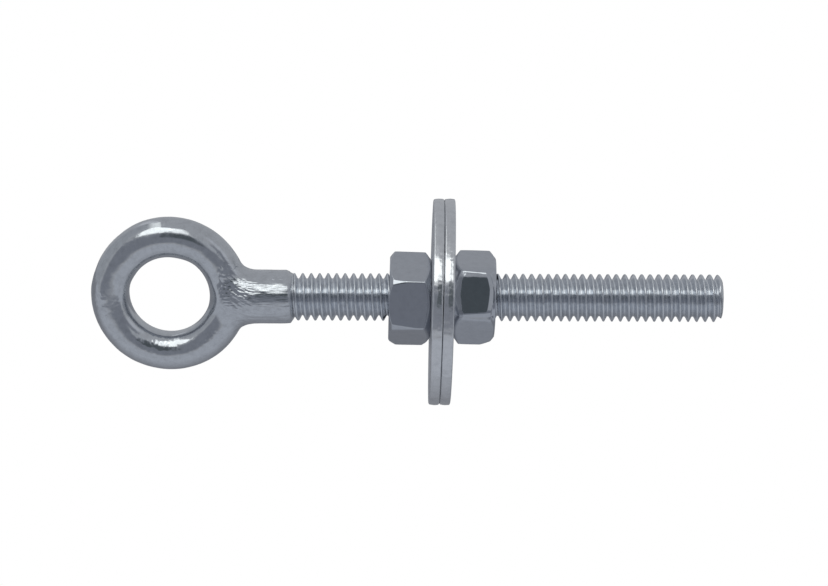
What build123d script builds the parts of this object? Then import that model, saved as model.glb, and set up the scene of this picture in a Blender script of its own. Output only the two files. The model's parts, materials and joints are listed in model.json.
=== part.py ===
from build123d import *
import os
from math import cos, pi, radians, tan

# Eye bolt with two nuts and two washers, in millimetres.
# Origin: centre of the eye. +X runs along the shank to its tip, the eye's hole runs along Y, +Z is up.
# Shank, nuts and washers are drawn about the X axis and then lowered by SHANK_DROP.

# Thread: 5/16 inch, 18 turns to the inch, 55 degree form, right hand
INCH = 25.4
THREAD_D = 5 / 16 * INCH
PITCH = INCH / 18
FLANK_ANGLE = 27.5
THREAD_DEPTH = 0.6403 * PITCH
CREST_FLAT = PITCH / 6
CREST_R = THREAD_D / 2
ROOT_R = CREST_R - THREAD_DEPTH
GROOVE_X = 20.82  # a groove's middle line crosses the underside (-Z) here
THREAD_RUN_IN = 2 * PITCH

# Eye and neck, forged in one piece with the shank. The land is the narrow trimmed band round the hole.
BAR_D = 6.4
EYE_CENTRE_R = 9.78
LAND_WIDTH = 2.1
LAND_R = EYE_CENTRE_R - ((BAR_D / 2) ** 2 - (LAND_WIDTH / 2) ** 2) ** 0.5
NECK_D = 8.75
SWELL_START = (8.8, 2.6)
SWELL_SLOPE = 0.35
NECK_FULL_X = 14.2
NECK_END_X = 20.5
EYE_FILLET = 2.5
TIP_X = 91.9
TIP_CHAMFER = 0.65
SHANK_DROP = 0.46  # the eye was bent up a little off the shank's line

# Nuts, each turned so that one of its corners stands above the front (-Y) by the angle given
NUT_ACROSS_FLATS = 13.6
NUT_CORNER_R = NUT_ACROSS_FLATS / 2 / cos(pi / 6)
NUT_THICKNESS = 6.8
NUT_CHAMFER_ANGLE = 36
NUT_FACE_R = 6.46
THREAD_GAP = 0.09
COUNTERSINK = 0.35
MOUTH_R = CREST_R + COUNTERSINK
EYE_NUT_CORNER = 36.6
TIP_NUT_CORNER = 50.5

# Washers, face to face at CLAMP_X, which hang on the shank by the play in their bores
WASHER_D = 34.4
WASHER_BORE_D = 9.7
WASHER_DROP = 0.79
WASHER_THICKNESS = 1.8
WASHER_EDGE_R = 0.25
CLAMP_X = 45.33


def helix_edge(radius, start_x):
    """One turn of a right-hand helix about X, starting under the axis."""
    edge = Edge.make_helix(PITCH, PITCH, radius)
    return Pos(start_x, 0, 0) * Rot(0, 90, 0) * edge


def threaded_rod(from_x, to_x, gap=0.0):
    """A screw that covers at least from_x to to_x, its surface moved out by gap, with helicoid ends."""
    crest_r, root_r = CREST_R + gap, ROOT_R + gap
    flank = THREAD_DEPTH * tan(radians(FLANK_ANGLE))
    widening = gap / cos(radians(FLANK_ANGLE)) - gap * tan(radians(FLANK_ANGLE))
    crest_flat = CREST_FLAT + 2 * widening
    turns_before = int((GROOVE_X - from_x) / PITCH) + 2
    turns = int((to_x - from_x) / PITCH) + 3
    first_x = GROOVE_X - PITCH / 2 - crest_flat / 2 - turns_before * PITCH
    corners = [
        (0.0, crest_r),
        (crest_flat, crest_r),
        (crest_flat + flank, root_r),
        (PITCH - flank, root_r),
        (PITCH, crest_r),
    ]
    edges = [helix_edge(r, first_x + x) for x, r in corners]
    strips = [Face.make_surface_from_curves(a, b) for a, b in zip(edges, edges[1:])]
    faces = [Pos(n * PITCH, 0, 0) * strip for n in range(turns) for strip in strips]
    axis_start, axis_end = Vector(first_x, 0, 0), Vector(first_x + PITCH, 0, 0)
    profile = [Vector(first_x + x, 0, -r) for x, r in corners]
    helicoid = Face.make_surface_from_curves(Edge.make_line(axis_start, axis_end), edges[0])
    step = Face(Wire.make_polygon([axis_start, *profile, axis_end], close=True))
    for end in (0, turns * PITCH):
        faces += [Pos(end, 0, 0) * helicoid, Pos(end, 0, 0) * step]
    return Solid(Shell(faces))


def turned(*points):
    """The solid of revolution about X of a closed outline of (x, radius) points."""
    return revolve(Plane.XZ * make_face(Polyline(*points, close=True)), Axis.X, 360)


def eye_bolt():
    """Eye, neck and threaded shank in one piece."""
    bar_r, neck_r = BAR_D / 2, NECK_D / 2
    eye = Rot(90, 0, 180) * Torus(EYE_CENTRE_R, bar_r)
    swell = Spline(SWELL_START, (NECK_FULL_X, neck_r), tangents=[(1, SWELL_SLOPE), (1, 0)])
    chamfer = neck_r - ROOT_R
    shoulder = Polyline(
        (NECK_FULL_X, neck_r),
        (NECK_END_X - chamfer / 2, neck_r),
        (NECK_END_X + chamfer / 2, ROOT_R),
        (NECK_END_X + chamfer / 2, 0),
        (SWELL_START[0], 0),
        SWELL_START,
    )
    neck = revolve(Plane.XZ * make_face(swell + shoulder), Axis.X, 360)
    head = eye + Pos(0, 0, -SHANK_DROP) * neck
    junction = [e for e in head.edges().filter_by(GeomType.BSPLINE) if e.length > neck_r]
    head = fillet(junction, EYE_FILLET)
    head -= Rot(90, 0, 0) * Cylinder(LAND_R, 2 * BAR_D)
    past_tip = TIP_X + 4 * PITCH
    tip_cut = turned(
        (TIP_X - TIP_CHAMFER, CREST_R),
        (TIP_X, CREST_R - TIP_CHAMFER),
        (TIP_X, 0),
        (past_tip, 0),
        (past_tip, THREAD_D),
        (TIP_X - TIP_CHAMFER, THREAD_D),
    )
    shank = threaded_rod(NECK_END_X - THREAD_RUN_IN, TIP_X)
    return Pos(0, 0, -SHANK_DROP) * (shank - tip_cut) + head


def nut(from_x, corner_angle):
    """A hexagon nut, chamfered on both faces, with a corner at corner_angle above the front (-Y)."""
    to_x = from_x + NUT_THICKNESS
    hexagon = RegularPolygon(NUT_ACROSS_FLATS / 2, 6, major_radius=False)
    blank = Pos(from_x, 0, 0) * Rot(-corner_angle, 0, 0) * extrude(Plane.YZ * hexagon, NUT_THICKNESS)
    outer_r = 1.1 * NUT_CORNER_R
    bevel = (outer_r - NUT_FACE_R) * tan(radians(NUT_CHAMFER_ANGLE))
    envelope = turned(
        (from_x, 0),
        (from_x, NUT_FACE_R),
        (from_x + bevel, outer_r),
        (to_x - bevel, outer_r),
        (to_x, NUT_FACE_R),
        (to_x, 0),
    )
    body = blank & envelope
    bore_r = ROOT_R + THREAD_GAP
    for mouth_x, inward in ((from_x, 1), (to_x, -1)):
        countersink_end_x = mouth_x + inward * (MOUTH_R - bore_r)
        body -= turned((mouth_x, 0), (mouth_x, MOUTH_R), (countersink_end_x, bore_r), (countersink_end_x, 0))
    body -= threaded_rod(from_x - PITCH, to_x + PITCH, THREAD_GAP)
    return Pos(0, 0, -SHANK_DROP) * body


def washer(from_x):
    """A large flat washer with softened rim corners."""
    disc = Cylinder(WASHER_D / 2, WASHER_THICKNESS)
    disc = fillet(disc.edges(), WASHER_EDGE_R)
    disc -= Cylinder(WASHER_BORE_D / 2, 2 * WASHER_THICKNESS)
    return Pos(from_x + WASHER_THICKNESS / 2, 0, -SHANK_DROP - WASHER_DROP) * Rot(0, 90, 0) * disc


eye_side_face = CLAMP_X - WASHER_THICKNESS
tip_side_face = CLAMP_X + WASHER_THICKNESS
nodes = {
    "eye_bolt": eye_bolt(),
    "washer_eye_side": washer(eye_side_face),
    "washer_tip_side": washer(CLAMP_X),
    "nut_eye_side": nut(eye_side_face - NUT_THICKNESS, EYE_NUT_CORNER),
    "nut_tip_side": nut(tip_side_face, TIP_NUT_CORNER),
}
os.makedirs("parts", exist_ok=True)
for name, solid in nodes.items():
    export_step(solid, f"parts/{name}.step")
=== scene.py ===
import json
from itertools import product
from math import cos, pi, radians, sin, tan
from typing import NamedTuple

import bmesh
import bpy
import numpy as np
from mathutils import Matrix, Vector


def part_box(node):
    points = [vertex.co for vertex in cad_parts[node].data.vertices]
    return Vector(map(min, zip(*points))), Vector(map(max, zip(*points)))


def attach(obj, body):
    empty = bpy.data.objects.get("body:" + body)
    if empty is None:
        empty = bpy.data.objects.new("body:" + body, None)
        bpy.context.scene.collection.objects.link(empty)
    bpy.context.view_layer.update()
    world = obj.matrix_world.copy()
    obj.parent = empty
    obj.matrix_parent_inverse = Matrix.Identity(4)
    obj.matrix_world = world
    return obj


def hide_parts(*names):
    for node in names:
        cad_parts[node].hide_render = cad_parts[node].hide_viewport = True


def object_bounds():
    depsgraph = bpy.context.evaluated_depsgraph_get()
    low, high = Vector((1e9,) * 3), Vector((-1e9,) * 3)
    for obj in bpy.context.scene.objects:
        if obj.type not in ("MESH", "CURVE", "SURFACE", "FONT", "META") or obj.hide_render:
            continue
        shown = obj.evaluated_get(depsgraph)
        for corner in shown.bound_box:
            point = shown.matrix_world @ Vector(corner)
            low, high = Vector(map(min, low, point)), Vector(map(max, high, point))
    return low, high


# Looks for an eye bolt with two nuts and two washers. Meshes are worked out in millimetres, in the frame's
# own axes: +X along the shank to its tip, +Y along the eye's hole, +Z up. Angles round the shank start
# under the axis (-Z) and grow towards +Y, as a right-hand thread turns when it moves along +X.
# Surface marks are rows of (height, size of the lumps, seed) of smooth noise.

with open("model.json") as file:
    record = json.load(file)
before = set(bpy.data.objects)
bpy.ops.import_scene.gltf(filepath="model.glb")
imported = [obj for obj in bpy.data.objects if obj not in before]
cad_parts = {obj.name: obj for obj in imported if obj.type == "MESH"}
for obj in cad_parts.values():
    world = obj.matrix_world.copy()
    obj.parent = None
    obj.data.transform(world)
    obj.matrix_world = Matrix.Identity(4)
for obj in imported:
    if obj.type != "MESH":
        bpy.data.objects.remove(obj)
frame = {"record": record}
cad_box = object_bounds()

MM = 0.001
TURN = 2 * pi


def node_box(name):
    """Lowest and highest corner of a CAD node, in millimetres."""
    low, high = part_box(name)
    return Vector(low) / MM, Vector(high) / MM


mounts = {mount["name"]: mount for mount in frame["record"]["mounts"]}
bolt_low, bolt_high = node_box("eye_bolt")
nut_low, nut_high = node_box("nut_eye_side")
AXIS_Z = (nut_low.z + nut_high.z) / 2  # height of the shank's axis; the eye's centre is at 0

# Eye and neck
BAR_R = 3.2
EYE_CENTRE_R = -bolt_low.x - BAR_R
LAND_R = mounts["eye"]["dims"]["r_mm"]
NECK_R = (bolt_high.y - bolt_low.y) / 2

# Thread: right hand, 55 degree form, with a groove's middle line under the axis at GROOVE_X
PITCH = frame["record"]["behaviour"]["couplings"][0]["ratio"] * TURN / MM
CREST_R = mounts["threaded_shank"]["dims"]["r_mm"]
THREAD_DEPTH = 0.6403 * PITCH
ROOT_R = CREST_R - THREAD_DEPTH
FLANK = radians(27.5)
THREAD_ROUND_R = 0.1373 * PITCH
GROOVE_X = 20.82
TIP_X = bolt_high.x

# Mesh density: columns go round the shank, lines follow the thread
COLUMNS = 96
LINES_PER_PITCH = 10
SEAM = radians(170)  # where a surface that follows the thread closes on itself


# ---------------------------------------------------------------- small tools

NOISE_GAIN = 1.7
SLOPE_STEP = 0.002
NORMAL_STEP = 0.01


def noise(points, size, seed):
    """Smooth gradient noise, about -1 to 1, with lumps of that size (a number, or one for each axis)."""
    rng = np.random.default_rng(seed)
    order = rng.permutation(256)
    slopes = rng.normal(size=(256, 3))
    slopes /= np.linalg.norm(slopes, axis=1, keepdims=True)
    scaled = points / np.asarray(size, float)
    cell = np.floor(scaled).astype(int)
    part = scaled - cell
    fade = part ** 3 * (part * (part * 6 - 15) + 10)
    total = np.zeros(len(points))
    for corner in product((0, 1), repeat=3):
        i, j, k = ((cell + corner) & 255).T
        slope = slopes[order[(order[(order[i] + j) & 255] + k) & 255]]
        weight = np.where(corner, fade, 1 - fade).prod(axis=1)
        total += weight * ((part - corner) * slope).sum(axis=1)
    return NOISE_GAIN * total


def marked(points, marks, seed=0):
    """The summed heights of surface marks, with seed added to each row's own."""
    return sum(height * noise(points, size, seed + number) for height, size, number in marks)


def smooth_step(value, start, end):
    """0 at start, 1 at end and smooth between them."""
    part = np.clip((value - start) / (end - start), 0, 1)
    return part * part * (3 - 2 * part)


def smooth_min(a, b, blend):
    """The smaller of a and b, with the corner between them rounded over blend."""
    gap = np.clip(0.5 + 0.5 * (b - a) / blend, 0, 1)
    return b + (a - b) * gap - blend * gap * (1 - gap)


def smooth_max(a, b, blend):
    """The larger of a and b, rounded in the same way."""
    return -smooth_min(-a, -b, blend)


def window(value, low, high, blend):
    """1 between low and high, and smoothly 0 outside them."""
    return smooth_step(value, low - blend, low) * (1 - smooth_step(value, high, high + blend))


def unit(vectors):
    """Vectors of length 1 in the same directions."""
    return vectors / np.linalg.norm(vectors, axis=1, keepdims=True)


def slope_of(field, points, step=SLOPE_STEP):
    """The gradient of a field at each point."""
    ahead = [field(points + offset) - field(points - offset) for offset in np.eye(3) * step]
    return np.stack(ahead, axis=1) / (2 * step)


def onto_field(points, field):
    """Points moved along the field's gradient towards where it is 0."""
    slope = slope_of(field, points)
    return points - (field(points) / (slope ** 2).sum(axis=1))[:, None] * slope


def settled(points, field, rounds):
    """Points brought onto the surface where a field is 0, closer with every round."""
    for _ in range(rounds):
        points = onto_field(points, field)
    return points


def raised(points, field, detail):
    """Points of the field's surface raised along its normal by detail(points), and the normals there."""
    normals = unit(slope_of(lambda at: field(at) - detail(at), points, NORMAL_STEP))
    return points + unit(slope_of(field, points)) * detail(points)[:, None], normals


def sheet_points(place, detail, along, angle, step=SLOPE_STEP):
    """Points and normals of the surface place(along, angle), raised along its normal by detail(points)."""

    def lifted(a, b):
        point = place(a, b)
        normal = unit(np.cross(place(a, b + step) - point, place(a + step, b) - point))
        return point + normal * detail(point)[:, None]

    point = lifted(along, angle)
    normal = np.cross(lifted(along, angle + step) - point, lifted(along + step, angle) - point)
    return point, unit(normal)


def turned_point(x, radius, angle):
    """The point at that radius and angle round the shank's axis."""
    return np.stack([x, radius * np.sin(angle), AXIS_Z - radius * np.cos(angle)], axis=1)


def round_axis(points):
    """Each point's place along the shank, and its radius and angle round the shank's axis."""
    x, y, z = points.T
    return x, np.hypot(y, z - AXIS_Z), np.arctan2(y, AXIS_Z - z)


class MeshBuilder:
    """Collects points, normals and faces of one piece, in millimetres."""

    def __init__(self):
        self.points = np.zeros((0, 3))
        self.normals = np.zeros((0, 3))
        self.faces = []

    def add(self, points, normals):
        """Adds points and returns the number of the first one."""
        first = len(self.points)
        self.points = np.vstack([self.points, points])
        self.normals = np.vstack([self.normals, normals])
        return first

    def add_band(self, first_row, next_row, columns):
        """Joins two closed rows of points, given by the number of each row's first point, with quads."""
        for column in range(columns):
            ahead = (column + 1) % columns
            self.faces.append((first_row + column, first_row + ahead, next_row + ahead, next_row + column))

    def zip_loops(self, left, right):
        """Joins two loops of (angle, point number), both in order of angle, with triangles."""
        i, j = 0, 0
        while i < len(left) or j < len(right):
            a, b = left[i % len(left)], right[j % len(right)]
            next_a = left[(i + 1) % len(left)][0] + TURN * ((i + 1) // len(left))
            next_b = right[(j + 1) % len(right)][0] + TURN * ((j + 1) // len(right))
            if j >= len(right) or (i < len(left) and next_a <= next_b):
                self.faces.append((a[1], left[(i + 1) % len(left)][1], b[1]))
                i += 1
            else:
                self.faces.append((a[1], right[(j + 1) % len(right)][1], b[1]))
                j += 1

    def object(self, name, material):
        """The finished piece: every face turned outward and shaded with the given normals."""
        mesh = bpy.data.meshes.new(name)
        mesh.from_pydata((self.points * MM).tolist(), [], self.faces)
        shell = bmesh.new()
        shell.from_mesh(mesh)
        bmesh.ops.recalc_face_normals(shell, faces=shell.faces)
        shell.to_mesh(mesh)
        shell.free()
        mesh.polygons.foreach_set("use_smooth", [True] * len(mesh.polygons))
        mesh.materials.append(material)
        mesh.update()
        mesh.normals_split_custom_set_from_vertices(self.normals.tolist())
        piece = bpy.data.objects.new(name, mesh)
        bpy.context.scene.collection.objects.link(piece)
        return piece


def screw_lines(start, end, phase):
    """Places, under the axis at angle 0, of lines that follow the thread from start to end.

    Five lie on each crest and five in each root, which makes LINES_PER_PITCH.
    """
    edge = THREAD_ROUND_R * cos(FLANK)
    steps = [-edge, -edge / 2, 0, edge / 2, edge]
    steps += [PITCH / 2 + step for step in steps]
    first = GROOVE_X + PITCH / 2 + PITCH * round((start - GROOVE_X) / PITCH - 1)
    turns = int((end - start) / PITCH) + 3
    lines = np.array([first + PITCH * turn + step for turn in range(turns) for step in steps])
    shift = PITCH * phase / TURN
    return lines[(lines + shift >= start) & (lines + shift <= end)]


def screw_end_loops(first, lines):
    """The loops of (angle, point number) at the two ends of a screw surface of that many lines."""
    step = TURN / COLUMNS
    start_loop = [(column * step, first + column) for column in range(COLUMNS)]
    start_loop += [(TURN, first + line * COLUMNS) for line in range(LINES_PER_PITCH, 0, -1)]
    last = first + (lines - 1) * COLUMNS
    end_loop = [(column * step, last + column) for column in range(COLUMNS)]
    seam_angle = TURN - step / 2
    seam_column = last + COLUMNS - 1
    end_loop += [(seam_angle, seam_column - line * COLUMNS) for line in range(1, LINES_PER_PITCH + 1)]
    return start_loop, end_loop


def add_screw(builder, place, detail, start, end, inward=False):
    """Adds a surface of lines that follow the thread.

    Returns the loops of (angle, point number) at its two ends.
    """
    lines = screw_lines(start, end, SEAM)
    angles = SEAM + np.arange(COLUMNS) * TURN / COLUMNS
    along, angle = np.meshgrid(lines, angles, indexing="ij")
    points, normals = sheet_points(
        lambda a, b: place(a + PITCH * b / TURN, b), detail, along.ravel(), angle.ravel()
    )
    first = builder.add(points, -normals if inward else normals)

    def number(line, column):
        wraps = column // COLUMNS
        return first + (line + wraps * LINES_PER_PITCH) * COLUMNS + column % COLUMNS

    for column in range(COLUMNS):
        last = len(lines) - 1 - (LINES_PER_PITCH if column == COLUMNS - 1 else 0)
        for line in range(last):
            corners = ((line, column), (line, column + 1), (line + 1, column + 1), (line + 1, column))
            face = tuple(number(*corner) for corner in corners)
            builder.faces.append(face[::-1] if inward else face)
    return screw_end_loops(first, len(lines))


def thread_radius(x, angle, gap=0.0):
    """The thread's surface, moved out by gap: straight flanks between round crests and roots."""
    across = np.abs((x - GROOVE_X - PITCH * angle / TURN) % PITCH - PITCH / 2)
    from_root = PITCH / 2 - across
    crest_round, root_round = THREAD_ROUND_R + gap, THREAD_ROUND_R - gap
    crest = CREST_R - THREAD_ROUND_R + np.sqrt(np.maximum(crest_round ** 2 - across ** 2, 0))
    root = ROOT_R + THREAD_ROUND_R - np.sqrt(np.maximum(root_round ** 2 - from_root ** 2, 0))
    flank_start = CREST_R - THREAD_ROUND_R + crest_round * sin(FLANK)
    flank = flank_start - (across - crest_round * cos(FLANK)) / tan(FLANK)
    straight = np.where(from_root < root_round * cos(FLANK), root, flank)
    return np.where(across < crest_round * cos(FLANK), crest, straight)


# ---------------------------------------------------------------- eye bolt

# Where the neck grows out of the ring
NECK_ROOT_X = 7.0
NECK_ROOT_R = 2.4
NECK_START_X = 9.0
NECK_START_BLEND = 1.0
NECK_FULL_X = 13.6
EYE_BLEND = 2.2
LAND_BLEND = 0.12
LAND_EDGE = (LAND_R - 0.1, LAND_R + 0.4)  # marks fade out over this ring towards the trimmed land

# The neck's shoulder, which runs out longer on the upper side, and the tip
SHOULDER_X = 20.25
SHOULDER_SLOPE = 1.6
SHOULDER_BLEND = 0.25
SHOULDER_TOP_BLEND = 1.7
SHOULDER_TOP_POWER = 5
SHOULDER_ROOT_BLEND = 0.06
TIP_CHAMFER = 0.65
TIP_CHAMFER_BLEND = 0.15
TIP_BLEND = 0.25
TIP_SPREAD = 2.6  # the thread's lines run this far in over the end face

# The eye is out of round at its upper left. Spans are (from, to, soft edge) in degrees round the ring,
# from +X up.
HAMMERED_IN = 0.18
HAMMERED_SPAN = (130, 155, 24)
HOLE_PINCHED = 0.24
PINCHED_SPAN = (80, 145, 32)

# The bar is thicker on its outer side, most at the top of the ring and least at the far side from the neck
OUTER_THICKER = 0.10
TOP_THICKER = 0.02
FAR_THINNER = 0.03
FAR_SPAN = (2, 12)

# Marks all over the forging: swells, hammer marks and orange peel
FORGED_MARKS = ((0.05, 6.5, 1), (0.015, 1.4, 2), (0.0022, 0.45, 3))
FORGED_END = (19.2, 20.6)

# Patches of pitted scale, as (middle and spread round the ring, middle and spread round the bar, depth)
PITTED = (
    (186, 17, 62, 36, 0.018),
    (190, 12, 112, 32, 0.014),
    (256, 36, 118, 36, 0.018),
    (316, 14, 84, 44, 0.018),
    (122, 14, 50, 22, 0.010),
)
PATCH_EDGE = (0.5, 1.0)
PIT_SIZE = 0.55
PIT_SEED = 11
CRATER_DEPTH = 0.9
CRATER_SIZE = 0.8
CRATER_SEED = 12
CRATER_LEVEL = 0.2

# A lap left by the bending, on the ring's upper side
LAP_HEIGHT = 0.026
LAP_SPAN = (95, 128, 3)
LAP_BAR_SPAN = (8, 44, 12)
LAP_MIDDLE = 30
LAP_RIPPLE_HEIGHT = 0.5
LAP_RIPPLES = 14

# Metal that flowed from the ring's upper side into the neck: folds first, then ridges drawn along the neck
FLOW_START_X = 10.5
FLOW_DROP = 2.4
FLOW_FADE = 2.3
FOLD_MARKS = ((0.06, (2.4, 0.55, 1.5), 4), (0.027, (1.3, 0.24, 1.0), 5))
FOLD_SPAN = (9.4, 13.4, 1.5)
FOLD_SWEEP_SPAN = (-3.4, 1.4, 1.2)
FOLD_SIDE = (0.5, 2.0)
DRAWN_MARKS = ((0.034, (3.4, 1.1, 1.5), 6), (0.026, (2.2, 0.45, 0.7), 9))
DRAWN_SPAN = (12.2, 19.5, 1.5)

# Wear of the thread
THREAD_MARKS = ((0.012, (0.5, 0.6, 0.6), 7), (0.006, (0.2, 1.5, 1.5), 8))
THREAD_START = (20.2, 21.2)

# Mesh density: bar steps go round the ring and bar sides round its bar. The neck grows out of the patch.
CAGE_BAR_STEPS = 48
CAGE_BAR_SIDES = 12
CAGE_PATCH = 3
SUBDIVISIONS = 3
RING_COLUMNS = 192
RELAX_ROUNDS = 14
EYE_SETTLE_ROUNDS = 2
JOIN_X = 16.4  # the cage ends here
CAGE_NECK_X = (13.9, 15.1, JOIN_X)
SCREW_START_X = 17.0  # and the lines that follow the thread start here


def ring_angles(points):
    """Degrees round the ring, from +X up, and round its bar, from the outer side to the front."""
    x, y, z = points.T
    return np.degrees(np.arctan2(z, x)), np.degrees(np.arctan2(-y, np.hypot(x, z) - EYE_CENTRE_R))


def eye_field(points):
    """Below 0 inside the forged eye and neck, above 0 outside. The eye is a little out of round."""
    x, y, z = points.T
    ring = np.hypot(x, z)
    turn, _ = ring_angles(points)
    outside = HAMMERED_IN * window(turn, *HAMMERED_SPAN)
    inside = HOLE_PINCHED * window(turn, *PINCHED_SPAN)
    centre_r, bar_r = EYE_CENTRE_R - (outside + inside) / 2, BAR_R + (inside - outside) / 2
    bar = np.hypot(ring - centre_r, y) - bar_r
    neck_r = NECK_ROOT_R + (NECK_R - NECK_ROOT_R) * smooth_step(x, NECK_ROOT_X, NECK_FULL_X)
    neck = smooth_max(np.hypot(y, z - AXIS_Z) - neck_r, NECK_START_X - x, NECK_START_BLEND)
    body = smooth_min(bar, neck, EYE_BLEND)
    return smooth_max(body, LAND_R - inside - ring, LAND_BLEND)


def forged_height(points):
    """Marks all over the forging, and its bar's uneven thickness."""
    x, _, z = points.T
    ring = np.hypot(x, z)
    outer = smooth_step(ring, EYE_CENTRE_R, EYE_CENTRE_R + BAR_R)
    thicker = OUTER_THICKER + TOP_THICKER * z / ring - FAR_THINNER * smooth_step(-x, *FAR_SPAN)
    return (marked(points, FORGED_MARKS) + outer * thicker) * (1 - smooth_step(x, *FORGED_END))


def pitted_height(points):
    """Patches of scale with small pits."""
    turn, tube = ring_angles(points)
    pits = noise(points, PIT_SIZE, PIT_SEED)
    pits -= CRATER_DEPTH * np.maximum(noise(points, CRATER_SIZE, CRATER_SEED), CRATER_LEVEL)
    height = 0
    for middle, spread, tube_middle, tube_spread, depth in PITTED:
        off_turn = (turn - middle + 180) % 360 - 180
        away = np.hypot(off_turn / spread, (tube - tube_middle) / tube_spread)
        height += depth * (1 - smooth_step(away, *PATCH_EDGE)) * pits
    return height


def lap_height(points):
    """The lap's step, with faint ridges beside it."""
    turn, tube = ring_angles(points)
    lapped = window(turn, *LAP_SPAN) * window(tube, *LAP_BAR_SPAN)
    ripples = 1 + LAP_RIPPLE_HEIGHT * np.cos(np.radians(tube - LAP_MIDDLE) * LAP_RIPPLES)
    return LAP_HEIGHT * lapped * ripples


def flow_height(points):
    """Folds and drawn ridges, which sweep down from the ring and turn along the neck."""
    x, y, z = points.T
    sweep = z - AXIS_Z - FLOW_DROP * np.exp(-(x - FLOW_START_X) / FLOW_FADE)
    flow = np.stack([x, sweep, y], axis=1)
    folded = window(x, *FOLD_SPAN) * window(sweep, *FOLD_SWEEP_SPAN) * smooth_step(np.abs(y), *FOLD_SIDE)
    return marked(flow, FOLD_MARKS) * folded + marked(flow, DRAWN_MARKS) * window(x, *DRAWN_SPAN)


def bolt_detail(points):
    """How far forging and thread rolling left the bolt's surface above or below its plain shape."""
    x, _, z = points.T
    height = forged_height(points) + pitted_height(points) + lap_height(points) + flow_height(points)
    height += marked(points, THREAD_MARKS) * smooth_step(x, *THREAD_START)
    return height * smooth_step(np.hypot(x, z), *LAND_EDGE)


def shank_place(along, angle):
    """The neck's end, the thread and the chamfered tip. Past the tip, along runs in over the end face."""
    x = smooth_min(along, TIP_X, TIP_BLEND)
    past_tip = smooth_max(along - TIP_X, 0, TIP_BLEND)
    top = 0.5 - 0.5 * np.cos(angle)
    blend = SHOULDER_BLEND + (SHOULDER_TOP_BLEND - SHOULDER_BLEND) * top ** SHOULDER_TOP_POWER
    shoulder = smooth_min(NECK_R, NECK_R - SHOULDER_SLOPE * (x - SHOULDER_X), blend)
    radius = smooth_max(thread_radius(x, angle), shoulder, SHOULDER_ROOT_BLEND)
    radius = smooth_min(radius, CREST_R - (x - TIP_X + TIP_CHAMFER), TIP_CHAMFER_BLEND)
    return turned_point(x, radius - past_tip, angle)


def ring_cage():
    """A coarse ring of quads, open towards +X: points, faces and the point numbers round the opening."""
    grid, points, faces = {}, [], []

    def signed(number, count):
        return (number + count // 2) % count - count // 2

    for i, j in product(range(CAGE_BAR_STEPS), range(CAGE_BAR_SIDES)):
        place = signed(i, CAGE_BAR_STEPS), signed(j, CAGE_BAR_SIDES)
        if max(abs(place[0]), abs(place[1])) < CAGE_PATCH:
            continue
        turn, side = TURN * i / CAGE_BAR_STEPS, TURN * j / CAGE_BAR_SIDES
        ring = EYE_CENTRE_R + BAR_R * cos(side)
        grid[place] = len(points)
        points.append((ring * cos(turn), BAR_R * sin(side), ring * sin(turn)))
    for i, j in product(range(CAGE_BAR_STEPS), range(CAGE_BAR_SIDES)):
        corners = [(i, j), (i, j + 1), (i + 1, j + 1), (i + 1, j)]
        names = [(signed(a, CAGE_BAR_STEPS), signed(b, CAGE_BAR_SIDES)) for a, b in corners]
        if all(abs(a) <= CAGE_PATCH and abs(b) <= CAGE_PATCH for a, b in names):
            continue
        faces.append([grid[name] for name in names])
    edge = range(-CAGE_PATCH, CAGE_PATCH)
    loop = [(-CAGE_PATCH, j) for j in edge] + [(i, CAGE_PATCH) for i in edge]
    loop += [(CAGE_PATCH, -j) for j in edge] + [(-i, -CAGE_PATCH) for i in edge]
    start = loop.index((-CAGE_PATCH, 0))
    return points, faces, [grid[name] for name in loop[start:] + loop[:start]]


def eye_cage():
    """The coarse ring with the neck grown out of its hole."""
    points, faces, last = ring_cage()
    sides = len(last)
    for x in CAGE_NECK_X:
        angles = TURN * np.arange(sides) / sides
        ring = list(range(len(points), len(points) + sides))
        points += turned_point(np.full(sides, x), np.full(sides, NECK_R), angles).tolist()
        for k in range(sides):
            n = (k + 1) % sides
            faces.append([last[k], last[n], ring[n], ring[k]])
        last = ring
    return points, faces


def subdivided(points, faces):
    """The points, edges and faces of a cage after Catmull-Clark subdivision."""
    mesh = bpy.data.meshes.new("cage")
    mesh.from_pydata(points, [], faces)
    cage = bpy.data.objects.new("cage", mesh)
    bpy.context.scene.collection.objects.link(cage)
    cage.modifiers.new("smooth", "SUBSURF").levels = SUBDIVISIONS
    fine = bpy.data.meshes.new_from_object(cage.evaluated_get(bpy.context.evaluated_depsgraph_get()))
    fine_points = np.array([vertex.co for vertex in fine.vertices])
    edges = np.array([edge.vertices for edge in fine.edges])
    fine_faces = [tuple(polygon.vertices) for polygon in fine.polygons]
    bpy.data.objects.remove(cage)
    bpy.data.meshes.remove(mesh)
    bpy.data.meshes.remove(fine)
    return fine_points, edges, fine_faces


def relaxed_onto_eye(points, edges, rim, rim_points):
    """Points evened out over the eye's surface, with the neck's rim held in place."""
    count = np.bincount(edges.ravel(), minlength=len(points))[:, None]
    for _ in range(RELAX_ROUNDS):
        total = np.zeros_like(points)
        np.add.at(total, edges[:, 0], points[edges[:, 1]])
        np.add.at(total, edges[:, 1], points[edges[:, 0]])
        points = 0.5 * points + 0.5 * total / count
        points[rim] = rim_points
        points = settled(points, eye_field, EYE_SETTLE_ROUNDS)
    points[rim] = rim_points
    return points


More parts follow.
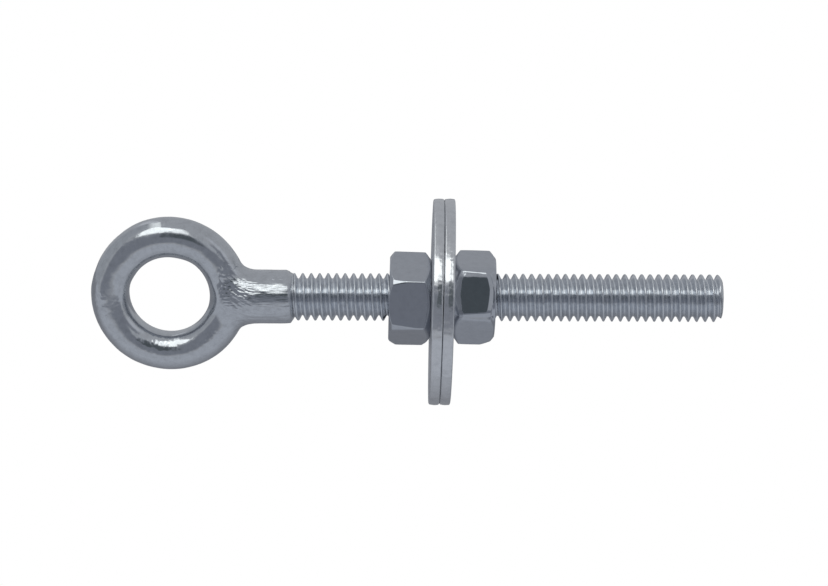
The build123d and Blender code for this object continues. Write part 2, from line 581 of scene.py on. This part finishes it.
def make_eye_bolt(material):
    """Eye and neck from the cage, joined to the lines that follow the thread to the tip."""
    points, edges, faces = subdivided(*eye_cage())
    rim = np.flatnonzero(points[:, 0] > JOIN_X - 0.001)
    rim = rim[np.argsort(np.arctan2(points[rim, 1], -points[rim, 2]) % TURN)]
    rim_angles = (np.arange(RING_COLUMNS) + 0.5) * TURN / RING_COLUMNS
    rim_points = turned_point(np.full(RING_COLUMNS, JOIN_X), np.full(RING_COLUMNS, NECK_R), rim_angles)
    points = relaxed_onto_eye(points, edges, rim, rim_points)

    builder = MeshBuilder()
    builder.add(*raised(points, eye_field, bolt_detail))
    builder.faces += faces
    neck_loop = sorted(((angle - SEAM) % TURN, int(number)) for angle, number in zip(rim_angles, rim))
    end_x = TIP_X + TIP_SPREAD - PITCH
    start_loop, end_loop = add_screw(builder, shank_place, bolt_detail, SCREW_START_X, end_x)
    builder.zip_loops(neck_loop, start_loop)
    builder.faces.append([number for _, number in end_loop])
    piece = builder.object("eye_bolt_forging", material)
    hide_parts("eye_bolt")
    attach(piece, "bolt")


# ---------------------------------------------------------------- nuts

class NutShape(NamedTuple):
    """How one nut was made and worn, in millimetres. The near end is the eye's, the far end the tip's.

    The first corner is the one that stands above the front, and its angle is round the shank.
    """

    corner: float  # angle of the first corner
    face_radii: tuple  # where the chamfer starts, at the near and the far end
    grinds: tuple  # flats on corners, as (corner counted from the first, depth at the near and the far end)
    bevels: tuple  # slopes of the worn bands along the front side's near end, far end and corners
    past: tuple  # how far the near and the far end stand past the CAD's
    sag: float  # how far the nut hangs in its thread
    seed: int


EYE_SIDE_NUT = NutShape(
    corner=radians(-90 - 36.6),
    face_radii=(6.85, 6.38),
    grinds=((0, 0.36, -0.37), (1, 0.34, -0.12), (2, 1.03, -4.67), (2, -5.4, 1.4)),
    bevels=(0, 0, 0),
    past=(0.17, 0),
    sag=0.25,
    seed=20,
)
TIP_SIDE_NUT = NutShape(
    corner=radians(-90 - 50.5),
    face_radii=(6.40, 6.50),
    grinds=((0, 0.03, 0.24), (1, 0.18, 0.46), (2, -1.58, 0.88)),
    bevels=(0.13, 0.26, 0.105),
    past=(0, 0.22),
    sag=0,
    seed=30,
)

NUT_FLAT_R = 6.86
NUT_CORNER_R = NUT_FLAT_R / cos(pi / 6)
NUT_CHAMFER = radians(36)
NUT_CORNER_BLEND = 0.16
NUT_CHAMFER_BLEND = 0.10
NUT_FACE_BLEND = 0.07
GRIND_BLEND = 0.1
GRIND_LEAST = 0.04  # a ground corner loses at least this much

# Thread, and the countersunk mouths
THREAD_GAP = 0.26
MOUTH_R = CREST_R + 0.35
MOUTH_BLEND = 0.1
BORE_SPREAD = 1.6  # the bore's lines run this far out over the end faces

# Sides fall away at their ends, and the front side has worn bands along its edges
SIDE_CROWN = 0.03
SIDE_CROWN_SPAN = (-0.3, 0.8)
BEVEL_WIDTH = 0.88
CORNER_BEVEL_WIDTH = 1.1
BEVEL_BLEND = 0.12
WORN_SPAN = (TURN / 12 - 0.04, TURN / 12 + 0.22)
NUT_MARKS = ((0.016, (2.6, 2.2, 2.2), 0), (0.006, (1.6, 0.6, 0.6), 1), (0.0022, 0.4, 2))
WAVER_MARKS = ((0.09, 1.2, 3),)
MARKS_SPAN = (0.05, 0.5)

# Mesh density: radii on an end face, then parts of the chamfer, then parts of a side from an end
NUT_RING_R = 6.15
FACE_STEPS_IN = (0.15, 0.04)
NUT_CHAMFER_ROWS = (0.04, 0.15, 0.35, 0.6, 0.85, 0.97)
NUT_SIDE_ROWS = (0.01, 0.04, 0.08, 0.12, 0.155, 0.19, 0.23, 0.28, 0.35, 0.43)
NUT_SIDE_COLUMNS = 40
NUT_SETTLE_ROUNDS = 4
COLUMN_CROWDING = 1.4

STACK_LEAN = radians(1.3)


def from_nearest_corner(angle, corner):
    """The angle from the nearest corner of a hexagon, given where one of its corners is."""
    return (angle - corner + TURN / 12) % (TURN / 6) - TURN / 12


def nut_field(ends, shape):
    """Below 0 inside a chamfered hexagon with its corners ground, bore not counted."""

    def field(points):
        x, radius, angle = round_axis(points)
        turn = from_nearest_corner(angle, shape.corner)
        flats = [radius * np.cos(pi / 6 + sign * turn) - NUT_FLAT_R for sign in (-1, 1)]
        solid = smooth_max(*flats, NUT_CORNER_BLEND)
        along = (x - ends[0]) / (ends[1] - ends[0])
        for number, near, far in shape.grinds:
            depth = smooth_max(near + (far - near) * along, GRIND_LEAST, GRIND_LEAST)
            ground = radius * np.cos(angle - shape.corner - number * TURN / 6) - NUT_CORNER_R + depth
            solid = smooth_max(solid, ground, GRIND_BLEND)
        for inward, face_r in zip((x - ends[0], ends[1] - x), shape.face_radii):
            chamfer = (radius - face_r) * sin(NUT_CHAMFER) - inward * cos(NUT_CHAMFER)
            solid = smooth_max(solid, chamfer, NUT_CHAMFER_BLEND)
            solid = smooth_max(solid, -inward, NUT_FACE_BLEND)
        return solid

    return field


def nut_detail(ends, shape):
    """Sides that fall away at their ends, worn bands, dents and tool marks. The end faces stay plain."""
    near_bevel, far_bevel, corner_bevel = shape.bevels

    def detail(points):
        x, radius, angle = round_axis(points)
        to_faces = x - ends[0], ends[1] - x
        edges = zip(to_faces, shape.face_radii)
        to_near, to_far = [to_face - (radius - face_r) * tan(NUT_CHAMFER) for to_face, face_r in edges]
        to_corner = radius * np.sin(np.abs(from_nearest_corner(angle, shape.corner)))
        waver = marked(points, WAVER_MARKS, shape.seed)
        off_front_side = np.abs((angle - shape.corner - TURN / 12 + pi) % TURN - pi)
        worn = 1 - smooth_step(off_front_side, *WORN_SPAN)
        height = -SIDE_CROWN * (1 - smooth_step(np.minimum(to_near, to_far), *SIDE_CROWN_SPAN))
        for slope, width, to_edge in (
            (near_bevel, BEVEL_WIDTH, to_near),
            (far_bevel, BEVEL_WIDTH, to_far),
            (corner_bevel, CORNER_BEVEL_WIDTH, to_corner),
        ):
            height -= worn * slope * smooth_max(width + waver - to_edge, 0, BEVEL_BLEND)
        height += marked(points, NUT_MARKS, shape.seed)
        return height * smooth_step(np.minimum(*to_faces), *MARKS_SPAN)

    return detail


def nut_rows(ends, face_radii, sharp_r):
    """Rows (x, radius) from one end face, over chamfer and side, to the other.

    sharp_r is each column's radius on a hexagon with sharp corners.
    """
    bevels = [(sharp_r - face_r) * tan(NUT_CHAMFER) for face_r in face_radii]
    span = ends[1] - ends[0] - sum(bevels)
    halves = []
    for face_r, bevel in zip(face_radii, bevels):
        face_rows = [NUT_RING_R] + [face_r - step for step in FACE_STEPS_IN]
        rows = [(np.zeros_like(sharp_r), np.full_like(sharp_r, row_r)) for row_r in face_rows]
        rows += [(bevel * part, face_r + (sharp_r - face_r) * part) for part in NUT_CHAMFER_ROWS]
        halves.append(rows + [(bevel + span * part, sharp_r) for part in NUT_SIDE_ROWS])
    near = [(ends[0] + into, radius) for into, radius in halves[0]]
    far = [(ends[1] - into, radius) for into, radius in reversed(halves[1])]
    return near + far


def nut_columns(corner):
    """Angles of the nut's columns, crowded towards its corners."""
    steps = np.arange(NUT_SIDE_COLUMNS) / (NUT_SIDE_COLUMNS / 2) - 1
    side = TURN / 12 * np.sign(steps) * np.abs(steps) ** COLUMN_CROWDING
    return np.sort(np.concatenate([corner + TURN / 6 * k + side for k in range(6)]) % TURN)


def nut_bore(start_x, end_x):
    """The threaded bore with its mouths. Past an end, along runs out over the end face."""

    def place(along, angle):
        x = smooth_min(smooth_max(along, start_x, MOUTH_BLEND), end_x, MOUTH_BLEND)
        mouth = smooth_max(MOUTH_R - (x - start_x), MOUTH_R - (end_x - x), MOUTH_BLEND)
        radius = smooth_max(thread_radius(x, angle, THREAD_GAP), mouth, MOUTH_BLEND)
        spread = smooth_max(start_x - along, 0, MOUTH_BLEND) + smooth_max(along - end_x, 0, MOUTH_BLEND)
        return turned_point(x, radius + spread, angle)

    return place


def smooth_wall(points):
    """The bore's detail, which is none."""
    return np.zeros(len(points))


def lean(builder, middle_x, middle_z):
    """Tips a piece about its own middle, top towards the tip, as the threads' play lets the stack stand."""
    x, z = builder.points[:, 0] - middle_x, builder.points[:, 2] - middle_z
    builder.points[:, 0] = middle_x + x * cos(STACK_LEAN) + z * sin(STACK_LEAN)
    builder.points[:, 2] = middle_z + z * cos(STACK_LEAN) - x * sin(STACK_LEAN)
    nx, nz = builder.normals[:, 0].copy(), builder.normals[:, 2].copy()
    builder.normals[:, 0] = nx * cos(STACK_LEAN) + nz * sin(STACK_LEAN)
    builder.normals[:, 2] = nz * cos(STACK_LEAN) - nx * sin(STACK_LEAN)


def make_nut(name, node, body, shape, material):
    """The outside from rows and columns, and the bore from lines that follow the thread."""
    low, high = node_box(node)
    start_x, end_x = ends = low.x - shape.past[0], high.x + shape.past[1]
    angles = nut_columns(shape.corner)
    columns = len(angles)
    sharp_r = NUT_FLAT_R / np.cos(TURN / 12 - np.abs(from_nearest_corner(angles, shape.corner)))
    rows = nut_rows(ends, shape.face_radii, sharp_r)
    points = np.concatenate([turned_point(x, radius, angles) for x, radius in rows])
    field = nut_field(ends, shape)
    points = settled(points, field, NUT_SETTLE_ROUNDS)
    builder = MeshBuilder()
    builder.add(*raised(points, field, nut_detail(ends, shape)))
    for row in range(len(rows) - 1):
        builder.add_band(row * columns, (row + 1) * columns, columns)

    bore = nut_bore(start_x, end_x)
    first_x, last_x = start_x - BORE_SPREAD, end_x + BORE_SPREAD - PITCH
    start_loop, end_loop = add_screw(builder, bore, smooth_wall, first_x, last_x, inward=True)
    for loop, ring in ((start_loop, 0), (end_loop, (len(rows) - 1) * columns)):
        outer = sorted(((angle - SEAM) % TURN, ring + column) for column, angle in enumerate(angles))
        builder.zip_loops(outer, loop)
    lean(builder, (start_x + end_x) / 2, AXIS_Z)
    builder.points[:, 2] -= shape.sag
    piece = builder.object(name, material)
    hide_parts(node)
    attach(piece, body)


# ---------------------------------------------------------------- washers

WASHER_EDGE_BLEND = 0.28
WASHER_BORE_BLEND = 0.1
BORE_R = 4.85

# The punched rim: a burnished band over this part of the thickness, then a torn one, and their slopes
BURNISHED = 0.52
BURNISHED_SLOPE = 0.12
TORN_SLOPE = 0.06
RIDGE_BLEND = 0.006
TORN_EDGE = (-0.04, 0.06)  # the tear starts and is complete this far from the ridge
RIM_EDGE = (0.3, 0.06)  # the rim's marks start and are complete this far inside its radius
RIDGE_MARKS = ((0.05, (9, 1.6, 1.6), 0),)
RIM_MARKS = ((0.022, (4.0, 1.0, 1.0), 1), (0.0025, (0.24, 4, 4), 2), (0.012, (2.5, 3.5, 3.5), 3))
FINE_RIM_MARKS = ((0.004, (0.7, 0.5, 0.5), 4),)
TORN_ROUGHER = 4  # the torn band's fine marks are this many times as high
FACE_MARKS = ((0.003, 3.0, 5),)
FACE_DROP = 0.006

# Mesh density: rows across the rim as parts of the thickness, and steps in from it over a face
WASHER_COLUMNS = 600
WASHER_SETTLE_ROUNDS = 3
RIM_ROWS = (-0.5, -0.47, -0.43, -0.37, -0.28, -0.18, -0.09, 0, 0.09, 0.18, 0.28, 0.37, 0.43, 0.47, 0.5)
FACE_STEPS = (0.06, 0.14, 0.3, 0.8, 2, 4, 6.5, 9, 11, 11.9, 12.15, 12.27)


def washer_field(middle_x, thickness, rim_r, middle_z):
    """Below 0 inside the washer."""

    def field(points):
        x, y, z = points.T
        radius = np.hypot(y, z - middle_z)
        ring = smooth_max(radius - rim_r, BORE_R - radius, WASHER_BORE_BLEND)
        return smooth_max(ring, np.abs(x - middle_x) - thickness / 2, WASHER_EDGE_BLEND)

    return field


def washer_detail(middle_x, thickness, rim_r, middle_z, seed):
    """A punched rim: a smooth band streaked along the punch's travel, then a rougher, torn band."""

    def detail(points):
        x, y, z = points.T
        across = (x - middle_x) / thickness + 0.5
        ridge = BURNISHED + marked(points, RIDGE_MARKS, seed)
        torn = smooth_step(across - ridge, *TORN_EDGE)
        slopes = TORN_SLOPE * (across - ridge), BURNISHED_SLOPE * (ridge - across)
        height = marked(points, RIM_MARKS, seed) - thickness * smooth_max(*slopes, RIDGE_BLEND)
        height += (1 + (TORN_ROUGHER - 1) * torn) * marked(points, FINE_RIM_MARKS, seed)
        face = marked(points, FACE_MARKS, seed) - FACE_DROP
        rim = smooth_step(rim_r - np.hypot(y, z - middle_z), *RIM_EDGE)
        return rim * height + (1 - rim) * face

    return detail


def washer_outline(thickness, rim_r):
    """The closed outline of a washer, as (x from its middle, radius)."""
    outline = [(part * thickness, rim_r) for part in RIM_ROWS]
    outline += [(thickness / 2, rim_r - step) for step in FACE_STEPS]
    outline += [(-part * thickness, BORE_R) for part in RIM_ROWS[::2]]
    return outline + [(-thickness / 2, rim_r - step) for step in FACE_STEPS[::-1]]


def make_washer(name, node, body, material, seed):
    """A washer's outline, turned about its own middle."""
    low, high = node_box(node)
    middle_x, thickness = (low.x + high.x) / 2, high.x - low.x
    middle_z, rim_r = (low.z + high.z) / 2, (high.z - low.z) / 2
    outline = washer_outline(thickness, rim_r)
    angles = np.arange(WASHER_COLUMNS) * TURN / WASHER_COLUMNS
    off_axis = np.array([middle_x, 0, middle_z - AXIS_Z])
    rings = [turned_point(np.full(WASHER_COLUMNS, x), radius, angles) + off_axis for x, radius in outline]
    field = washer_field(middle_x, thickness, rim_r, middle_z)
    points = settled(np.concatenate(rings), field, WASHER_SETTLE_ROUNDS)
    builder = MeshBuilder()
    builder.add(*raised(points, field, washer_detail(middle_x, thickness, rim_r, middle_z, seed)))
    for row in range(len(outline)):
        builder.add_band(row * WASHER_COLUMNS, (row + 1) % len(outline) * WASHER_COLUMNS, WASHER_COLUMNS)
    lean(builder, middle_x, AXIS_Z)
    piece = builder.object(name, material)
    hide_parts(node)
    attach(piece, body)


# ---------------------------------------------------------------- shader nodes

def add_node(tree, kind, inputs=(), **settings):
    """A node of that kind. inputs maps a socket's name or number to a value or to another node's output."""
    node = tree.nodes.new("ShaderNode" + kind)
    for setting, value in settings.items():
        setattr(node, setting, value)
    for name, value in dict(inputs).items():
        if isinstance(value, bpy.types.NodeSocket):
            tree.links.new(value, node.inputs[name])
        else:
            node.inputs[name].default_value = value
    return node


def math_node(tree, operation, a, b=0.0, **settings):
    """The result of an operation on a and b."""
    return add_node(tree, "Math", {0: a, 1: b}, operation=operation, **settings).outputs[0]


def split_node(tree, vector):
    """The X, Y and Z of a vector, by name."""
    return add_node(tree, "SeparateXYZ", {"Vector": vector}).outputs


def coordinates(tree, kind, axis=None):
    """A texture coordinate, or one of its axes."""
    place = add_node(tree, "TexCoord").outputs[kind]
    return split_node(tree, place)[axis] if axis else place


def range_node(tree, value, start, end, low=0.0, high=1.0, **settings):
    """low where value is start, high where it is end, and between them in between."""
    ends = {"Value": value, "From Min": start, "From Max": end, "To Min": low, "To Max": high}
    return add_node(tree, "MapRange", ends, **settings).outputs["Result"]


def mix_node(tree, factor, a, b):
    """The colour a where factor is 0 and b where it is 1."""
    return add_node(tree, "Mix", {0: factor, 6: a, 7: b}, data_type="RGBA").outputs[2]


def ramp_node(tree, factor, stops):
    """A colour ramp with stops of (position, colour)."""
    node = add_node(tree, "ValToRGB", {"Fac": factor})
    ramp = node.color_ramp.elements
    ramp[0].position, ramp[0].color = stops[0][0], (*stops[0][1], 1)
    ramp[1].position, ramp[1].color = stops[-1][0], (*stops[-1][1], 1)
    for position, colour in stops[1:-1]:
        ramp.new(position).color = (*colour, 1)
    return node.outputs["Color"]


def noise_node(tree, place, size, detail=3.0, roughness=0.55, distortion=0.0):
    """Noise with lumps of that size in metres, from 0 to 1."""
    return add_node(tree, "TexNoise", {
        "Vector": place,
        "Scale": 1 / size,
        "Detail": detail,
        "Roughness": roughness,
        "Distortion": distortion,
    }).outputs["Fac"]


def bump_node(tree, height, distance, **inputs):
    """The normal of a surface with bumps up to that distance in metres."""
    bumps = {"Height": height, "Strength": 1.0, "Distance": distance, **inputs}
    return add_node(tree, "Bump", bumps).outputs["Normal"]


# ---------------------------------------------------------------- materials

class Finish(NamedTuple):
    """How zinc plating came out on one kind of piece."""

    tone: tuple  # its colour
    clouded: float  # how far the tone strays
    smooth: float  # roughness of its finest patches
    rough: float  # roughness of its coarsest patches
    grain: float  # height of the fine grain, in metres


FORGED = Finish((0.63, 0.65, 0.68), 0.12, 0.08, 0.20, 1.2e-6)
COLD_FORMED = Finish((0.55, 0.57, 0.61), 0.06, 0.05, 0.10, 0.6e-6)
STAMPED = Finish((0.75, 0.76, 0.78), 0.10, 0.10, 0.23, 1.4e-6)
NUT_FACE_DULLER = 0.08
WASHER_FACE_DULLER = 0.18
FACES_FROM = (0.7, 0.95)  # the duller finish starts and is full where a normal's X is this
THREAD_DULLER = 0.05
# Painted light: the thread's copy of the finish is this much lighter, to lift the shade that falls in its
# grooves.
THREAD_PAINTED_LIGHT = 1.13
LIGHT_CLOUDS = 0.6  # how far light clouds stray, as a part of dark ones

# Noise nodes mostly stay between these values
NOISE_LOW = 0.3
NOISE_HIGH = 0.7

CLOUD_SIZE = 1.1 * MM
PATCH_SIZE = 0.9 * MM
GRAIN_SIZE = 0.35 * MM

# Streaks drawn along the neck, which fade in from the ring and end where the thread starts
STREAK_SIZE = 0.55 * MM
STREAK_STRETCH = 0.12
STREAK_HEIGHT = 90e-6
STREAKS_FROM = (8.5 * MM, 12.0 * MM)
THREAD_FROM = (SHOULDER_X * MM, (SHOULDER_X + 0.8) * MM)


def new_plating(name, finish):
    """A metal material with patchy roughness and fine grain.

    Returns it with the object's place, and the roughness and normal to build on.
    """
    material = bpy.data.materials.new(name)
    material.use_nodes = True
    tree = material.node_tree
    tree.nodes["Principled BSDF"].inputs["Metallic"].default_value = 1.0
    place = coordinates(tree, "Object")
    patches = noise_node(tree, place, PATCH_SIZE, 4.0, 0.6)
    roughness = range_node(tree, patches, NOISE_LOW, NOISE_HIGH, finish.smooth, finish.rough)
    normal = bump_node(tree, noise_node(tree, place, GRAIN_SIZE, 4.0, 0.6), finish.grain)
    return material, place, roughness, normal


def cloudy_colour(tree, place, finish, brightness=1.0):
    """The finish's tone, with darker and lighter clouds."""
    places = NOISE_LOW, (NOISE_LOW + NOISE_HIGH) / 2, NOISE_HIGH
    shades = 1 - finish.clouded, 1, 1 + LIGHT_CLOUDS * finish.clouded
    tones = [tuple(min(channel * shade * brightness, 1) for channel in finish.tone) for shade in shades]
    return ramp_node(tree, noise_node(tree, place, CLOUD_SIZE, 6.0, 0.65), list(zip(places, tones)))


def finished(material, colour, roughness, normal):
    """The material with its shader joined up."""
    tree = material.node_tree
    shader = tree.nodes["Principled BSDF"]
    for name, socket in (("Base Color", colour), ("Roughness", roughness), ("Normal", normal)):
        tree.links.new(socket, shader.inputs[name])
    return material


def flat_zinc(name, finish, face_duller):
    """Zinc on a nut or washer, duller on the faces across the shank."""
    material, place, roughness, normal = new_plating(name, finish)
    tree = material.node_tree
    across = math_node(tree, "ABSOLUTE", coordinates(tree, "Normal", "X"))
    dull = range_node(tree, across, *FACES_FROM, 0.0, face_duller)
    roughness = math_node(tree, "ADD", roughness, dull)
    return finished(material, cloudy_colour(tree, place, finish), roughness, normal)


def bolt_zinc(name, finish):
    """Zinc on the bolt: streaked along the neck, and duller on the thread, with painted light that makes
    the thread lighter.
    """
    material, place, roughness, normal = new_plating(name, finish)
    tree = material.node_tree
    along = split_node(tree, place)["X"]
    threaded = range_node(tree, along, *THREAD_FROM)
    colour = cloudy_colour(tree, place, finish)
    # A lighter copy of the finish on the thread: painted light against the shade in its grooves.
    colour = mix_node(tree, threaded, colour, cloudy_colour(tree, place, finish, THREAD_PAINTED_LIGHT))
    roughness = math_node(tree, "ADD", roughness, math_node(tree, "MULTIPLY", threaded, THREAD_DULLER))
    drawn = add_node(tree, "Mapping", {"Vector": place, "Scale": (STREAK_STRETCH, 1.0, 1.0)})
    streaks = noise_node(tree, drawn.outputs["Vector"], STREAK_SIZE, 3.0, 0.6, 0.4)
    neck = math_node(tree, "SUBTRACT", range_node(tree, along, *STREAKS_FROM), threaded, use_clamp=True)
    streaks = math_node(tree, "MULTIPLY", streaks, neck)
    normal = bump_node(tree, streaks, STREAK_HEIGHT, Normal=normal)
    return finished(material, colour, roughness, normal)


# ---------------------------------------------------------------- pieces

make_eye_bolt(bolt_zinc("plated_forging", FORGED))
nut_zinc = flat_zinc("plated_nut_steel", COLD_FORMED, NUT_FACE_DULLER)
washer_zinc = flat_zinc("plated_washer_steel", STAMPED, WASHER_FACE_DULLER)
make_nut("nut_eye_side_steel", "nut_eye_side", "eye_side_nut", EYE_SIDE_NUT, nut_zinc)
make_nut("nut_tip_side_steel", "nut_tip_side", "tip_side_nut", TIP_SIDE_NUT, nut_zinc)
make_washer("washer_eye_side_steel", "washer_eye_side", "eye_side_washer", washer_zinc, seed=40)
make_washer("washer_tip_side_steel", "washer_tip_side", "tip_side_washer", washer_zinc, seed=50)


# ---------------------------------------------------------------- studio

WHITE = (1.0, 1.0, 1.0, 1.0)
ROOM = (0.41, 0.425, 0.45, 1.0)

# Cards in the room round the object: (middle azimuth, middle elevation, half width, half height, soft edge,
# colour). Azimuth 0 is the front (-Y) and 90 is +X, in degrees. Later cards lie over earlier ones.
CARDS = (
    (-100, 10, 34, 60, 16, (0.36, 0.38, 0.41, 1)),
    (0, 8, 58, 24, 10, (0.22, 0.235, 0.27, 1)),
    (4, 22, 13, 12, 6, (0.09, 0.105, 0.116, 1)),
    (30, 25, 9, 12, 6, (0.42, 0.44, 0.47, 1)),
    (65, 32, 10, 18, 6, (0.50, 0.52, 0.56, 1)),
    (-148, 50, 8, 14, 8, (0.62, 0.64, 0.68, 1)),
)

FLOOR_Z = -0.12
FLOOR_FRONT_Y = -0.30
FLOOR_SIZE = 3.0
# The floor glows with painted light: a grey table top for every ray but the camera's, darker towards the
# back.
TABLE_SPAN = (-0.07, 0.07)
TABLE_STOPS = ((0, (0.43, 0.455, 0.50)), (1, (0.25, 0.26, 0.285)))

# Soft lights, all at one distance: (name, azimuth, elevation, width and height in metres, watts)
LIGHT_DISTANCE = 0.8
LIGHT_COLOUR = (0.97, 1.0, 0.965)
LIGHTS = (
    ("softbox", -30.5, 51, 0.44, 0.41, 0.62),
    ("side_box", 5.5, 51, 0.223, 0.31, 0.21),
    ("overhead", -90, 71.5, 0.57, 0.16, 0.17),
)


def card_cover(tree, azimuth, elevation, card):
    """1 where that direction falls on the card, and smoothly 0 round it."""
    middle_az, middle_el, half_az, half_el, edge, _ = card
    parts = []
    for angle, middle, half in ((azimuth, middle_az, half_az), (elevation, middle_el, half_el)):
        off = math_node(tree, "ABSOLUTE", math_node(tree, "SUBTRACT", angle, radians(middle)))
        outer, inner = radians(half + edge / 2), radians(half - edge / 2)
        parts.append(range_node(tree, off, outer, inner, interpolation_type="SMOOTHSTEP"))
    return math_node(tree, "MULTIPLY", *parts)


def shown_to_camera(tree, shown, otherwise):
    """One shader for the camera and another for every other ray."""
    seen = add_node(tree, "LightPath").outputs["Is Camera Ray"]
    return add_node(tree, "MixShader", {0: seen, 1: otherwise, 2: shown}).outputs[0]


def shade_world():
    """A room of soft grey cards, which the metal reflects, and plain white for the camera."""
    world = bpy.data.worlds.new("studio")
    bpy.context.scene.world = world
    world.use_nodes = True
    tree = world.node_tree
    tree.nodes.clear()
    look = split_node(tree, coordinates(tree, "Generated"))
    azimuth = math_node(tree, "ARCTAN2", look["X"], math_node(tree, "MULTIPLY", look["Y"], -1.0))
    elevation = math_node(tree, "ARCSINE", look["Z"])
    colour = ROOM
    for card in CARDS:
        colour = mix_node(tree, card_cover(tree, azimuth, elevation, card), colour, card[-1])
    room = add_node(tree, "Background", {"Color": colour}).outputs[0]
    backdrop = add_node(tree, "Background", {"Color": WHITE}).outputs[0]
    add_node(tree, "OutputWorld", {"Surface": shown_to_camera(tree, backdrop, room)})


def make_floor():
    """A floor that glows: plain white to the camera, and to every other ray a grey table top that darkens
    to the back, painted light which the metal reflects.
    """
    mesh = bpy.data.meshes.new("floor")
    side, front, far = FLOOR_SIZE, FLOOR_FRONT_Y, FLOOR_SIZE
    corners = [(-side, front), (side, front), (side, far), (-side, far)]
    mesh.from_pydata([(x, y, FLOOR_Z) for x, y in corners], [], [(0, 1, 2, 3)])
    floor = bpy.data.objects.new("floor", mesh)
    bpy.context.scene.collection.objects.link(floor)
    material = bpy.data.materials.new("glowing_floor")
    material.use_nodes = True
    mesh.materials.append(material)
    tree = material.node_tree
    tree.nodes.clear()
    depth = coordinates(tree, "Object", "Y")
    grey = ramp_node(tree, range_node(tree, depth, *TABLE_SPAN), TABLE_STOPS)
    table = add_node(tree, "Emission", {"Color": grey}).outputs[0]
    white = add_node(tree, "Emission", {"Color": WHITE}).outputs[0]
    add_node(tree, "OutputMaterial", {"Surface": shown_to_camera(tree, white, table)})


def direction(azimuth, elevation):
    """Unit vector from the object, azimuth 0 to the front and 90 to +X, in degrees."""
    az, el = radians(azimuth), radians(elevation)
    return Vector((sin(az) * cos(el), -cos(az) * cos(el), sin(el)))


def make_light(name, azimuth, elevation, width, height, watts):
    """A soft light that faces the middle of the object."""
    light = bpy.data.lights.new(name, "AREA")
    light.shape = "RECTANGLE"
    light.size, light.size_y = width, height
    light.energy = watts
    light.color = LIGHT_COLOUR
    lamp = bpy.data.objects.new(name, light)
    bpy.context.scene.collection.objects.link(lamp)
    middle = (Vector(cad_box[0]) + Vector(cad_box[1])) / 2
    away = direction(azimuth, elevation)
    lamp.location = middle + LIGHT_DISTANCE * away
    lamp.rotation_euler = away.to_track_quat("Z", "Y").to_euler()
    lamp.visible_camera = False


shade_world()
make_floor()
for light_row in LIGHTS:
    make_light(*light_row)


# ---------------------------------------------------------------- camera

AIM = Vector((40.70, 0, AXIS_Z + 0.72)) * MM
DISTANCE = 0.39961
AZIMUTH = radians(0.03)
ELEVATION = radians(15.92)
ROLL = radians(0.22)
LENS_MM = 104.35
SENSOR_WIDTH_MM = 36
CLIP_START = 0.01


def make_camera():
    """A long lens from the front and a little above, with a slight roll."""
    camera_data = bpy.data.cameras.new("camera")
    camera_data.sensor_width = SENSOR_WIDTH_MM
    camera_data.lens = LENS_MM
    camera_data.clip_start = CLIP_START
    camera = bpy.data.objects.new("camera", camera_data)
    bpy.context.scene.collection.objects.link(camera)
    forward = Vector((sin(AZIMUTH) * cos(ELEVATION), cos(AZIMUTH) * cos(ELEVATION), -sin(ELEVATION)))
    level = Vector((cos(AZIMUTH), -sin(AZIMUTH), 0))
    upright = level.cross(forward)
    right = level * cos(ROLL) + upright * sin(ROLL)
    up = upright * cos(ROLL) - level * sin(ROLL)
    turn = Matrix((right, up, -forward)).transposed().to_4x4()
    camera.matrix_world = Matrix.Translation(AIM - DISTANCE * forward) @ turn
    bpy.context.scene.camera = camera


make_camera()
bpy.context.scene.view_settings.view_transform = "Standard"
